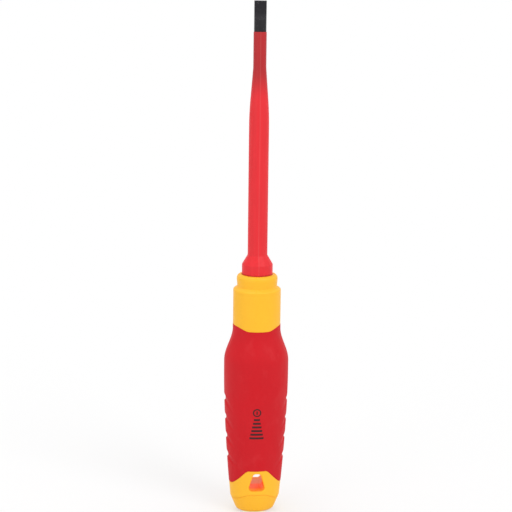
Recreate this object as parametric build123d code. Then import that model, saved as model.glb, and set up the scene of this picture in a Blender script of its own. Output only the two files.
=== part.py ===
"""Insulated slotted screwdriver with a moulded handle.

Frame: +Z runs along the tool from the handle's end to the tip, X is across the blade, and the hang
hole runs along Y. The origin is the middle of the handle's end. All sizes are in millimetres.
"""

from build123d import *
import os

# Overall
BLADE_LENGTH = 125.0  # from the collar's rim to the tip
HANDLE_LENGTH = 116.5  # from the handle's end to the collar's rim

# Steel blade
TIP_WIDTH = 5.35  # also the diameter of the round behind the ground faces
TIP_THICKNESS = 1.0
TIP_FLAT_LENGTH = 5.0  # where the two ground faces are parallel
TIP_GRIND_RADIUS = 4.2  # runout of the ground faces into the round
BARE_TIP_LENGTH = 13.8  # steel that the insulation leaves bare
STEEL_NECK_DIAMETER = 4.2  # under the slim nose
SHANK_DIAMETER = 6.0
TANG_END_HEIGHT = 44.0  # lower end of the tang, inside the handle
TANG_CHAMFER = 0.8
WING_SPAN = 10.0
WING_THICKNESS = 2.4
WING_LENGTH = 12.0
WING_HEIGHT = 52.0  # lower edge of the tang's forged wings

# Blade insulation
NOSE_DIAMETER = 5.72
NOSE_LENGTH = 16.0
TAPER_LENGTH = 27.0
TAPER_ROUND = 13.0  # length over which the taper rounds into the body
SLEEVE_DIAMETER = 8.95
CONE_LENGTH = 4.4
FLARE_DIAMETER = 14.35
FLARE_LENGTH = 4.7  # outside the collar's rim
SPIGOT_DIAMETER = 11.0  # inside the handle
SPIGOT_LENGTH = 20.0
FLARE_SEAT_DEPTH = 3.5  # how far the flare goes into the collar's rim
LOCK_GROOVE_DEPTH = 0.8
LOCK_GROOVE_WIDTH = 2.5
LOCK_GROOVE_PITCH = 5.0
LOCK_GROOVE_COUNT = 2

# Handle outline
NECK_DIAMETER = 22.05
PALM_WIDTH = 30.4
PALM_THICKNESS = 29.0
PALM_DROP = 48.0  # from the collar's rim down to the widest place
SHOULDER_TOP_DROP = 26.0  # from the rim to where the neck starts to widen
SHOULDER_LENGTH = 15.4
END_WIDTH = 22.2  # of the tapered grip, carried down to the handle's end
END_THICKNESS = 16.7
WIDTH_CURVE = 1.7  # 1 is a straight taper, and more keeps the palm full for longer
THICKNESS_CURVE = 1.3
TAPER_STATIONS = 8
SHOULDER_STATIONS = 8
NECK_STATIONS = 3

# Handle end
END_SIDE_SLOPE = 0.4  # growth of the half width with height
END_FRONT_SLOPE = 0.33
END_ROUND = 3.0
SEAM_SIDE_HEIGHT = 7.8
SEAM_BEND_HEIGHT = 8.3
SEAM_CROWN_HEIGHT = 10.2
SEAM_BEND_OFFSET = 8.3
SEAM_CROWN_OFFSET = 5.6
SEAM_GROOVE_WIDTH = 0.3
SEAM_GROOVE_DEPTH = 0.3

# Layers of the handle
COVER_THICKNESS = 2.6  # from the core out to the grip's surface
SKIRT_DEPTH = 1.5  # from the grip's surface down to the collar's and shell's skirts
SKIRT_LENGTH = 7.0
GRIP_PROUD = 0.1  # of the soft grip over the hard yellow pieces
CORE_TOP_DROP = 9.5  # from the rim down to the core's top
CORE_END_HEIGHT = 6.5
CAP_BOSS_DIAMETER = 7.0
CAP_BOSS_LENGTH = 3.5

# Neck collar, above the grip
LIP_WALL = 2.25  # yellow round the flare at the rim
LIP_HEIGHT = 2.6
LIP_ROUND = 0.9
WAIST_SETBACK = 0.175  # of the waist behind the lip
COLLAR_STEP_DROP = 5.3  # from the rim down to the inner corner of the step
COLLAR_SHOULDER_DROP = 7.4  # from the rim down to the full neck
COLLAR_SHOULDER_ROUND = 0.6  # where the slope meets the neck
COLLAR_CYLINDER_DROP = 22.0  # from the rim down to the end of the true cylinder
COLLAR_EDGE_DROP_SIDE = 23.9  # lower edge of the yellow at the sides
COLLAR_EDGE_DROP_FRONT = 25.5
COLLAR_FLAT_OFFSET = 5.4
COLLAR_DIAGONAL_OFFSET = 9.6

# Rear shell
SHELL_EDGE_SIDE_HEIGHT = 14.8
SHELL_FLAT_OFFSET = 4.9
SHELL_DIAGONAL_OFFSET = 11.4
SHELL_CORNER_ROUND = 2.0
HOLE_BOTTOM_HEIGHT = 12.5
HOLE_HEIGHT = 8.7
HOLE_BOTTOM_WIDTH = 8.2
HOLE_TOP_WIDTH = 3.2
HOLE_BOTTOM_ROUND = 1.6
HOLE_TOP_ROUND = 1.5
HOLE_TOP_WALL = 1.6  # yellow left between the hole and the front edge of the grip
HOLE_LIP_DEPTH = 3.8  # of the yellow round the hole, from the grip's surface
HOLE_LIP_WALL = 1.2

# Scallops in the soft grip
SCALLOP_COUNT = 4
SCALLOP_FIRST_HEIGHT = 28.1
SCALLOP_PITCH = 9.4
SCALLOP_WIDTH = 2.8
SCALLOP_DEPTH = 0.6
SCALLOP_REACH = 8.7  # half the arc's span, front to back
SCALLOP_DROP = 4.6  # from the arc's crown down to its ends

# Worked out from the above
TOOL_LENGTH = HANDLE_LENGTH + BLADE_LENGTH
NOSE_TOP = TOOL_LENGTH - BARE_TIP_LENGTH
NOSE_BOTTOM = NOSE_TOP - NOSE_LENGTH
TAPER_BOTTOM = NOSE_BOTTOM - TAPER_LENGTH
CONE_BOTTOM = HANDLE_LENGTH + FLARE_LENGTH
CONE_TOP = CONE_BOTTOM + CONE_LENGTH
SPIGOT_TOP = HANDLE_LENGTH - FLARE_SEAT_DEPTH
SPIGOT_BOTTOM = SPIGOT_TOP - SPIGOT_LENGTH
CORE_TOP = HANDLE_LENGTH - CORE_TOP_DROP
PALM_HEIGHT = HANDLE_LENGTH - PALM_DROP
SHOULDER_TOP = HANDLE_LENGTH - SHOULDER_TOP_DROP
PALM_TOP = SHOULDER_TOP - SHOULDER_LENGTH
FORM_TOP = HANDLE_LENGTH - COLLAR_CYLINDER_DROP
COLLAR_DIAMETER = NECK_DIAMETER - 2 * GRIP_PROUD
LIP_DIAMETER = FLARE_DIAMETER + 2 * LIP_WALL
WAIST_DIAMETER = LIP_DIAMETER - 2 * WAIST_SETBACK
HOLE_TOP_HEIGHT = HOLE_BOTTOM_HEIGHT + HOLE_HEIGHT
SHELL_EDGE_FRONT_HEIGHT = HOLE_TOP_HEIGHT + HOLE_TOP_WALL
HALF_SPACE = 2 * PALM_WIDTH  # larger than the handle, for slabs that cut right through it
BELOW_END = 3.0  # how far the tapered form starts below the handle's end


def handle_size(height):
    """Width across X and thickness across Y of the grip's surface at a height."""
    rise = (SHOULDER_TOP - height) / SHOULDER_LENGTH
    if rise <= 0:
        return NECK_DIAMETER, NECK_DIAMETER
    if rise < 1:
        swell = rise * rise * (3 - 2 * rise)
        width = NECK_DIAMETER + (PALM_WIDTH - NECK_DIAMETER) * swell
        return width, NECK_DIAMETER + (PALM_THICKNESS - NECK_DIAMETER) * swell
    fall = max(0.0, 1 - height / PALM_HEIGHT)
    width = PALM_WIDTH - (PALM_WIDTH - END_WIDTH) * fall**WIDTH_CURVE
    return width, PALM_THICKNESS - (PALM_THICKNESS - END_THICKNESS) * fall**THICKNESS_CURVE


def stations(bottom, top, count):
    """Evenly spaced heights above bottom, the last of them at top."""
    return [bottom + (top - bottom) * step / count for step in range(1, count + 1)]


def oval(width, thickness, height):
    """An oval face across the tool's axis."""
    return Plane.XY.offset(height) * Ellipse(width / 2, thickness / 2)


def handle_form(inset):
    """The handle's solid below the collar's cylinder, with its surface set in by inset."""
    heights = [-BELOW_END, 0]
    heights += stations(0, PALM_HEIGHT, TAPER_STATIONS) + [PALM_TOP]
    heights += stations(PALM_TOP, SHOULDER_TOP, SHOULDER_STATIONS)
    heights += stations(SHOULDER_TOP, FORM_TOP, NECK_STATIONS)
    sections = []
    for height in heights:
        width, thickness = handle_size(height)
        sections.append(oval(width - 2 * inset, thickness - 2 * inset, height))
    return loft(sections)


def turned(points):
    """A solid of revolution about the tool's axis from an outline of (radius, height) points."""
    return revolve(Plane.XZ * make_face(Polyline(*points, close=True)), Axis.Z)


def slab(bottom, top):
    """A block wider than the handle between two heights."""
    return Pos(0, 0, (bottom + top) / 2) * Box(2 * HALF_SPACE, 2 * HALF_SPACE, top - bottom)


def through_front(outline):
    """A prism right through the handle along Y, from an outline drawn in X and Z."""
    return extrude(Plane.XZ * outline, HALF_SPACE, both=True)


def mirrored_outline(right_half):
    """A face from the right-hand points of an outline that is the same on the left."""
    left_half = [(-x, z) for x, z in reversed(right_half)]
    return make_face(Polyline(*right_half, *left_half, close=True))


def below_seam(raised=0.0):
    """Everything below the end cap's arched parting line, or below that line raised."""
    side = handle_size(SEAM_SIDE_HEIGHT)[0] / 2
    arch = [
        (HALF_SPACE, -BELOW_END),
        (HALF_SPACE, SEAM_SIDE_HEIGHT + raised),
        (side, SEAM_SIDE_HEIGHT + raised),
        (SEAM_BEND_OFFSET, SEAM_BEND_HEIGHT + raised),
        (SEAM_CROWN_OFFSET, SEAM_CROWN_HEIGHT + raised),
    ]
    return through_front(mirrored_outline(arch))


def seam_groove():
    """The shallow groove that the parting line shows at the surface."""
    half = SEAM_GROOVE_WIDTH / 2
    return below_seam(half) - below_seam(-half) - handle_form(GRIP_PROUD + SEAM_GROOVE_DEPTH)


def below_shell_edge():
    """Everything below the humped upper edge of the yellow rear shell."""
    hump = [
        (HALF_SPACE, -BELOW_END),
        (HALF_SPACE, SHELL_EDGE_SIDE_HEIGHT),
        (SHELL_DIAGONAL_OFFSET, SHELL_EDGE_SIDE_HEIGHT),
        (SHELL_FLAT_OFFSET, SHELL_EDGE_FRONT_HEIGHT),
    ]
    outline = mirrored_outline(hump)
    corners = [corner for corner in outline.vertices() if abs(corner.X) < HALF_SPACE]
    return through_front(fillet(corners, SHELL_CORNER_ROUND))


def above_collar_edge():
    """Everything above the lower edge of the yellow collar, which dips at the front and back."""
    side = HANDLE_LENGTH - COLLAR_EDGE_DROP_SIDE
    dip = [
        (COLLAR_FLAT_OFFSET, HANDLE_LENGTH - COLLAR_EDGE_DROP_FRONT),
        (COLLAR_DIAGONAL_OFFSET, side),
        (HALF_SPACE, side),
        (HALF_SPACE, TOOL_LENGTH),
    ]
    return through_front(mirrored_outline(dip))


def hole_outline():
    """The hang hole's rounded trapezoid, drawn in X and Z."""
    lower = (HOLE_BOTTOM_WIDTH / 2, HOLE_BOTTOM_HEIGHT)
    outline = mirrored_outline([lower, (HOLE_TOP_WIDTH / 2, HOLE_TOP_HEIGHT)])
    outline = fillet(outline.vertices().group_by(Axis.Y)[0], HOLE_BOTTOM_ROUND)
    return fillet(outline.vertices().group_by(Axis.Y)[-1], HOLE_TOP_ROUND)


def hang_hole():
    """The cutter of the hang hole, right through from front to back."""
    return through_front(hole_outline())


def hole_lips():
    """The two recesses in the core that the yellow lips of the hang hole fill."""
    return through_front(offset(hole_outline(), HOLE_LIP_WALL)) - handle_form(HOLE_LIP_DEPTH)


def rounded_end():
    """The sloped and rounded end that trims the handle's form below the crease."""
    side = handle_size(SEAM_SIDE_HEIGHT)[0] / 2
    front = handle_size(SEAM_CROWN_HEIGHT)[1] / 2
    sections = []
    for height in (0, HANDLE_LENGTH):
        half_width = side + END_SIDE_SLOPE * (height - SEAM_SIDE_HEIGHT)
        half_thickness = front + END_FRONT_SLOPE * (height - SEAM_CROWN_HEIGHT)
        sections.append(oval(2 * half_width, 2 * half_thickness, height))
    cone = loft(sections, ruled=True)
    return fillet(cone.edges().sort_by(Axis.Z)[0], END_ROUND)


def core_block():
    """The core's outer shape, with nothing cut out of it but the recesses for the hole's lips."""
    neck = NECK_DIAMETER / 2 - COVER_THICKNESS
    block = handle_form(COVER_THICKNESS) & slab(CORE_END_HEIGHT, FORM_TOP)
    block -= hole_lips()
    return block + turned([(0, FORM_TOP), (neck, FORM_TOP), (neck, CORE_TOP), (0, CORE_TOP)])


def cap_boss():
    """The end cap's boss, which locks into a pocket in the core."""
    middle = Pos(0, 0, CORE_END_HEIGHT + CAP_BOSS_LENGTH / 2)
    return middle * Cylinder(CAP_BOSS_DIAMETER / 2, CAP_BOSS_LENGTH)


def ground_space():
    """What is ground off the front of the round head to leave a flat face with a curved runout."""
    face, head = TIP_THICKNESS / 2, TIP_WIDTH / 2
    flat_end = TOOL_LENGTH - TIP_FLAT_LENGTH
    runout = (TIP_GRIND_RADIUS**2 - (TIP_GRIND_RADIUS - (head - face)) ** 2) ** 0.5
    straight = Polyline((head, flat_end - runout), (TIP_WIDTH, flat_end - runout), (TIP_WIDTH, TOOL_LENGTH))
    flat = Polyline((TIP_WIDTH, TOOL_LENGTH), (face, TOOL_LENGTH), (face, flat_end))
    wheel = TangentArc((face, flat_end), (head, flat_end - runout), tangent=(0, -1))
    return extrude(Plane.YZ * make_face(straight + flat + wheel), TIP_WIDTH, both=True)


def blade():
    """The steel bar: slotted tip, round head, reduced neck, shank and winged tang."""
    head, neck, shank = TIP_WIDTH / 2, STEEL_NECK_DIAMETER / 2, SHANK_DIAMETER / 2
    bar = turned([
        (0, TANG_END_HEIGHT),
        (shank - TANG_CHAMFER, TANG_END_HEIGHT),
        (shank, TANG_END_HEIGHT + TANG_CHAMFER),
        (shank, TAPER_BOTTOM + TAPER_ROUND / 2),
        (neck, NOSE_BOTTOM),
        (neck, NOSE_TOP),
        (head, NOSE_TOP),
        (head, TOOL_LENGTH),
        (0, TOOL_LENGTH),
    ])
    wings = Pos(0, 0, WING_HEIGHT + WING_LENGTH / 2) * Box(WING_SPAN, WING_THICKNESS, WING_LENGTH)
    ground = ground_space()
    return bar + wings - ground - mirror(ground, Plane.XZ)


def blade_insulation(steel):
    """The sleeve moulded over the blade, down to its locking spigot inside the handle."""
    nose, body = NOSE_DIAMETER / 2, SLEEVE_DIAMETER / 2
    flare, spigot = FLARE_DIAMETER / 2, SPIGOT_DIAMETER / 2
    bend_top = TAPER_BOTTOM + TAPER_ROUND
    slope = (body - nose) / (TAPER_LENGTH - TAPER_ROUND / 2)
    bend_radius = nose + slope * (NOSE_BOTTOM - bend_top)
    lower = Polyline(
        (0, NOSE_TOP),
        (0, SPIGOT_BOTTOM),
        (spigot, SPIGOT_BOTTOM),
        (spigot, SPIGOT_TOP),
        (flare, SPIGOT_TOP),
        (flare, CONE_BOTTOM),
        (body, CONE_TOP),
        (body, TAPER_BOTTOM),
    )
    bend = Bezier((body, TAPER_BOTTOM), (body, TAPER_BOTTOM + TAPER_ROUND / 2), (bend_radius, bend_top))
    upper = Polyline((bend_radius, bend_top), (nose, NOSE_BOTTOM), (nose, NOSE_TOP), (0, NOSE_TOP))
    sleeve = revolve(Plane.XZ * make_face(lower + bend + upper), Axis.Z)
    for step in range(LOCK_GROOVE_COUNT):
        low = SPIGOT_BOTTOM + LOCK_GROOVE_PITCH * (step + 0.5)
        high = low + LOCK_GROOVE_WIDTH
        floor = spigot - LOCK_GROOVE_DEPTH
        sleeve -= turned([(floor, low), (flare, low), (flare, high), (floor, high)])
    return sleeve - steel


def inner_core(steel, sleeve):
    """The hard first shot that grips the blade's tang and the sleeve's spigot."""
    return core_block() - cap_boss() - steel - sleeve - hang_hole()


def neck_collar(steel, sleeve):
    """The yellow collar round the sleeve's flare, with a skirt under the soft grip."""
    neck, waist, lip = COLLAR_DIAMETER / 2, WAIST_DIAMETER / 2, LIP_DIAMETER / 2
    step = HANDLE_LENGTH - COLLAR_STEP_DROP
    shoulder = HANDLE_LENGTH - COLLAR_SHOULDER_DROP
    bend_in = COLLAR_SHOULDER_ROUND * (neck - waist) / (step - shoulder)
    bend_start = (neck, shoulder - COLLAR_SHOULDER_ROUND)
    bend_end = (neck - bend_in, shoulder + COLLAR_SHOULDER_ROUND)
    side = Polyline((0, HANDLE_LENGTH), (0, FORM_TOP), (neck, FORM_TOP), bend_start)
    bend = Bezier(bend_start, (neck, shoulder), bend_end)
    rim = Polyline(
        bend_end,
        (waist, step),
        (lip, HANDLE_LENGTH - LIP_HEIGHT),
        (lip, HANDLE_LENGTH - LIP_ROUND),
        (lip - LIP_ROUND, HANDLE_LENGTH),
        (0, HANDLE_LENGTH),
    )
    upper = revolve(Plane.XZ * make_face(side + bend + rim), Axis.Z)
    lower = handle_form(GRIP_PROUD) & slab(0, FORM_TOP) & above_collar_edge()
    skirt_bottom = HANDLE_LENGTH - COLLAR_EDGE_DROP_FRONT - SKIRT_LENGTH
    skirt = handle_form(SKIRT_DEPTH) & slab(skirt_bottom, FORM_TOP)
    return upper + lower + skirt - core_block() - sleeve - steel


def rear_shell():
    """The yellow moulding round the hang hole, with a skirt under the soft grip."""
    outer = handle_form(GRIP_PROUD) & below_shell_edge()
    skirt = handle_form(SKIRT_DEPTH) & slab(0, SHELL_EDGE_FRONT_HEIGHT + SKIRT_LENGTH)
    shell = (outer + skirt) & rounded_end()
    return shell - below_seam() - core_block() - hang_hole() - seam_groove()


def end_cap():
    """The yellow rounded end, below the parting line, with its boss."""
    outer = handle_form(GRIP_PROUD) & below_seam() & rounded_end()
    return outer - core_block() - seam_groove() + cap_boss()


def scallop(height):
    """The cutter of one arched scallop, from side to side through the soft grip."""
    crown = SCALLOP_WIDTH / 2
    start, finish = (-SCALLOP_REACH, height - SCALLOP_DROP), (SCALLOP_REACH, height - SCALLOP_DROP)
    upper = ThreePointArc(start, (0, height + crown), finish)
    lower = ThreePointArc(finish, (0, height - crown), start)
    return extrude(Plane.YZ * make_face(upper + lower), PALM_WIDTH, both=True)


def soft_grip(collar, shell):
    """The red grip moulded over the core and the skirts, with scallops down each side."""
    grip = handle_form(0) & slab(SHELL_EDGE_SIDE_HEIGHT, FORM_TOP)
    grip = grip - below_shell_edge() - above_collar_edge() - core_block() - collar - shell
    kept = handle_form(SCALLOP_DEPTH)
    for index in range(SCALLOP_COUNT):
        grip -= scallop(SCALLOP_FIRST_HEIGHT + SCALLOP_PITCH * index) - kept
    return grip


def main():
    """Builds each piece from the ones it is moulded round and writes them all."""
    os.makedirs("parts", exist_ok=True)
    steel = blade()
    sleeve = blade_insulation(steel)
    collar = neck_collar(steel, sleeve)
    shell = rear_shell()
    pieces = {
        "blade": steel,
        "blade_insulation": sleeve,
        "inner_core": inner_core(steel, sleeve),
        "neck_collar": collar,
        "rear_shell": shell,
        "soft_grip": soft_grip(collar, shell),
        "end_cap": end_cap(),
    }
    for name, piece in pieces.items():
        export_step(piece, f"parts/{name}.step")


if __name__ == "__main__":
    main()
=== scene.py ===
"""Insulated slotted screwdriver: the finished look of each piece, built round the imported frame.

Sizes are in millimetres in the tool's own frame. +Z runs from the handle's end to the tip, and the
ground flat of the tip faces -Y. Lengths become metres only where a mesh, lamp or camera is made.
A turn is an angle about the tool's axis in radians, 0 at the front (-Y) and a quarter turn at +X.
"""

import logging
import math
from collections.abc import Mapping, Sequence
from dataclasses import dataclass
from enum import Enum

import bmesh
import bpy
import numpy as np
from mathutils import Matrix, Vector


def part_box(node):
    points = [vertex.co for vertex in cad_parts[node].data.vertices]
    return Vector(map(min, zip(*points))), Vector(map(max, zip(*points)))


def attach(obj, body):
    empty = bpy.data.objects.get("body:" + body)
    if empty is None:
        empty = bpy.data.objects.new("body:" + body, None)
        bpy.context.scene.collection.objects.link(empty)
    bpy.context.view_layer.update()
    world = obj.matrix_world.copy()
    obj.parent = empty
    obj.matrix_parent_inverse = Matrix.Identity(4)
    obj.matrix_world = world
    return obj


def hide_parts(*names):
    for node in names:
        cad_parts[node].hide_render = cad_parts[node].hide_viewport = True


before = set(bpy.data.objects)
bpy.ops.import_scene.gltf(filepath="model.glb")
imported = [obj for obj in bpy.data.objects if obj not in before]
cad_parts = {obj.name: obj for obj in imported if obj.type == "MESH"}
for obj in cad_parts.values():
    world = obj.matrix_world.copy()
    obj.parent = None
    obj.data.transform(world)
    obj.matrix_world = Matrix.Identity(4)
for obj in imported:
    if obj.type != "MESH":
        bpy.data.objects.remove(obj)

MM = 0.001
WELD = 2e-6
SHARP_ANGLE = math.radians(38)
QUARTER = math.pi / 2

log = logging.getLogger("screwdriver")
Corner = tuple[float, float, float]
Colour = tuple[float, float, float, float]


class Slot(Enum):
    """The record's material slots."""

    STEEL = "black_steel"
    SLEEVE = "sleeve_red"
    CORE = "core_red"
    YELLOW = "handle_yellow"
    GRIP = "grip_red"


class Half(Enum):
    """The two faces of the handle, by the sign that takes the front's Y to it."""

    FRONT = 1
    BACK = -1


def srgb(red: float, green: float, blue: float) -> Colour:
    """Turns a colour in 0 to 255 screen values into the linear colour that shaders use.

    Args:
        red: screen value of red.
        green: screen value of green.
        blue: screen value of blue.

    Returns:
        The linear colour with full alpha.
    """
    linear = []
    for value in (red, green, blue):
        share = value / 255
        linear.append(share / 12.92 if share <= 0.04045 else ((share + 0.055) / 1.055) ** 2.4)
    return (linear[0], linear[1], linear[2], 1.0)


def low(node: str) -> Vector:
    """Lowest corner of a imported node, in millimetres."""
    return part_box(node)[0] / MM


def high(node: str) -> Vector:
    """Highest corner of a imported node, in millimetres."""
    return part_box(node)[1] / MM


def rounded_path(corners: Sequence[Corner], closed: bool = False, steps: int = 6) -> np.ndarray:
    """Draws a path whose corners are rounded by arcs.

    Args:
        corners: across, along and radius of each corner. A radius of 0 keeps it sharp.
        closed: whether the path runs back from the last corner to the first.
        steps: spans in each arc.

    Returns:
        The path's points, one row of (across, along) each.
    """
    points = [np.array(corner[:2], float) for corner in corners]
    path = []
    for index, (point, corner) in enumerate(zip(points, corners)):
        radius = corner[2]
        if radius == 0 or (not closed and index in (0, len(points) - 1)):
            path.append(point)
            continue
        back = points[index - 1] - point
        ahead = points[(index + 1) % len(points)] - point
        back = back / np.linalg.norm(back)
        ahead = ahead / np.linalg.norm(ahead)
        opening = math.acos(float(np.clip(back @ ahead, -1, 1)))
        toward = (back + ahead) / np.linalg.norm(back + ahead)
        centre = point + toward * radius / math.sin(opening / 2)
        reach = radius / math.tan(opening / 2)
        sweep = math.pi - opening
        start = point + back * reach - centre
        end = point + ahead * reach - centre
        for step in range(steps + 1):
            share = step / steps
            spoke = math.sin((1 - share) * sweep) * start + math.sin(share * sweep) * end
            path.append(centre + spoke / math.sin(sweep))
    return np.array(path)


def spaced(path: np.ndarray, longest: float) -> np.ndarray:
    """Adds points to a path so that no span is longer than a given length.

    Args:
        path: points, one row each.
        longest: the longest span allowed.

    Returns:
        The path with the added points.
    """
    pieces = [path[:1]]
    for start, end in zip(path[:-1], path[1:]):
        count = max(1, math.ceil(float(np.linalg.norm(end - start)) / longest))
        shares = np.linspace(0, 1, count + 1)[1:, None]
        pieces.append(start + (end - start) * shares)
    return np.concatenate(pieces)


def turned(path: np.ndarray, turns: np.ndarray, raised: np.ndarray | float = 0.0) -> np.ndarray:
    """Turns a path about the tool's axis.

    Args:
        path: rows of (radius, height).
        turns: the turns at which the path is repeated.
        raised: what is added to the radius at each turn.

    Returns:
        A grid of points, one row for each point of the path.
    """
    radius = path[:, :1] + np.broadcast_to(raised, turns.shape)
    height = np.broadcast_to(path[:, 1:], radius.shape)
    return np.stack([radius * np.sin(turns), -radius * np.cos(turns), height], axis=-1)


def ease(share: np.ndarray) -> np.ndarray:
    """Rises smoothly from 0 to 1 as its input does."""
    held = np.clip(share, 0, 1)
    return held * held * (3 - 2 * held)


def edge_round(radius: float, steps: int = 4) -> list[tuple[float, float]]:
    """A quarter-round at an edge, as (inset, rise) pairs from the cut face out to the surface."""
    angles = [QUARTER * step / steps for step in range(steps + 1)]
    return [(radius * (1 - math.sin(angle)), radius * (1 - math.cos(angle))) for angle in angles]


class Skin:
    """Sheets of quads in millimetres that are welded into one closed mesh."""

    def __init__(self, name: str) -> None:
        """Starts an empty skin.

        Args:
            name: the name of the piece that the skin becomes.
        """
        self.name = name
        self.points: list[np.ndarray] = []
        self.quads: list[np.ndarray] = []
        self.count = 0

    def sheet(self, grid: np.ndarray, wrap_rows: bool = False, wrap_columns: bool = False) -> None:
        """Adds one sheet.

        Args:
            grid: points in rows and columns.
            wrap_rows: whether the last row joins the first.
            wrap_columns: whether the last column joins the first.
        """
        rows, columns = grid.shape[:2]
        index = self.count + np.arange(rows * columns).reshape(rows, columns)
        if wrap_rows:
            index = np.vstack([index, index[:1]])
        if wrap_columns:
            index = np.hstack([index, index[:, :1]])
        corners = [index[:-1, :-1], index[1:, :-1], index[1:, 1:], index[:-1, 1:]]
        self.quads.append(np.stack(corners, axis=-1).reshape(-1, 4))
        self.points.append(grid.reshape(-1, 3))
        self.count += rows * columns

    def mirrored_sheet(self, grid: np.ndarray, signs: Sequence[tuple[int, int]]) -> None:
        """Adds one sheet several times, with its X and Y multiplied by each pair of signs."""
        for across, through in signs:
            self.sheet(grid * np.array([across, through, 1]))

    def cap(self, ring: np.ndarray) -> None:
        """Closes a ring of points with a fan round its middle."""
        middle = np.broadcast_to(ring.mean(axis=0), ring.shape)
        self.sheet(np.stack([ring, middle]), wrap_columns=True)

    def make(self) -> bpy.types.Object:
        """Welds the sheets, turns the faces outwards and shades the mesh smooth.

        Returns:
            The new object, in the scene.
        """
        mesh = bpy.data.meshes.new(self.name)
        mesh.from_pydata((np.concatenate(self.points) * MM).tolist(), [], np.concatenate(self.quads).tolist())
        work = bmesh.new()
        work.from_mesh(mesh)
        bmesh.ops.remove_doubles(work, verts=work.verts, dist=WELD)
        bmesh.ops.dissolve_degenerate(work, edges=work.edges, dist=WELD / 2)
        bmesh.ops.recalc_face_normals(work, faces=work.faces)
        open_edges = sum(1 for edge in work.edges if not edge.is_manifold)
        work.to_mesh(mesh)
        work.free()
        mesh.shade_smooth()
        mesh.set_sharp_from_angle(angle=SHARP_ANGLE)
        piece = bpy.data.objects.new(self.name, mesh)
        bpy.context.scene.collection.objects.link(piece)
        log.info("%s: %d faces, %d open edges", self.name, len(mesh.polygons), open_edges)
        return piece


class Socket:
    """A node's output that Python's operators turn into Math nodes."""

    def __init__(self, sheet: "NodeSheet", link: bpy.types.NodeSocket) -> None:
        """Wraps one output.

        Args:
            sheet: the sheet that new nodes are added to.
            link: the output itself.
        """
        self.sheet = sheet
        self.link = link

    def math(self, operation: str, *values: "Socket | float", clamp: bool = False) -> "Socket":
        """Adds a Math node whose inputs are the given values.

        Args:
            operation: the Math node's operation.
            values: its inputs in order.
            clamp: whether the result is held between 0 and 1.

        Returns:
            The node's output.
        """
        settings = {"operation": operation, "use_clamp": clamp}
        return self.sheet.node("ShaderNodeMath", settings, dict(enumerate(values)))

    def __add__(self, other: "Socket | float") -> "Socket":
        """Sum."""
        return self.math("ADD", self, other)

    __radd__ = __add__

    def __sub__(self, other: "Socket | float") -> "Socket":
        """Difference."""
        return self.math("SUBTRACT", self, other)

    def __rsub__(self, other: float) -> "Socket":
        """Difference with a plain number on the left."""
        return self.math("SUBTRACT", other, self)

    def __mul__(self, other: "Socket | float") -> "Socket":
        """Product."""
        return self.math("MULTIPLY", self, other)

    __rmul__ = __mul__

    def __truediv__(self, other: "Socket | float") -> "Socket":
        """Quotient."""
        return self.math("DIVIDE", self, other)

    def __abs__(self) -> "Socket":
        """Size without sign."""
        return self.math("ABSOLUTE", self)

    def __or__(self, other: "Socket | float") -> "Socket":
        """The larger of two masks."""
        return self.math("MAXIMUM", self, other)

    def between(self, start: float, end: float) -> "Socket":
        """Rises smoothly from 0 at start to 1 at end.

        Args:
            start: the input that gives 0.
            end: the input that gives 1. It may be the smaller of the two.

        Returns:
            The eased value, held between 0 and 1.
        """
        share = self.math("DIVIDE", self - start, end - start, clamp=True)
        return share * share * (3 - 2 * share)


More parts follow.
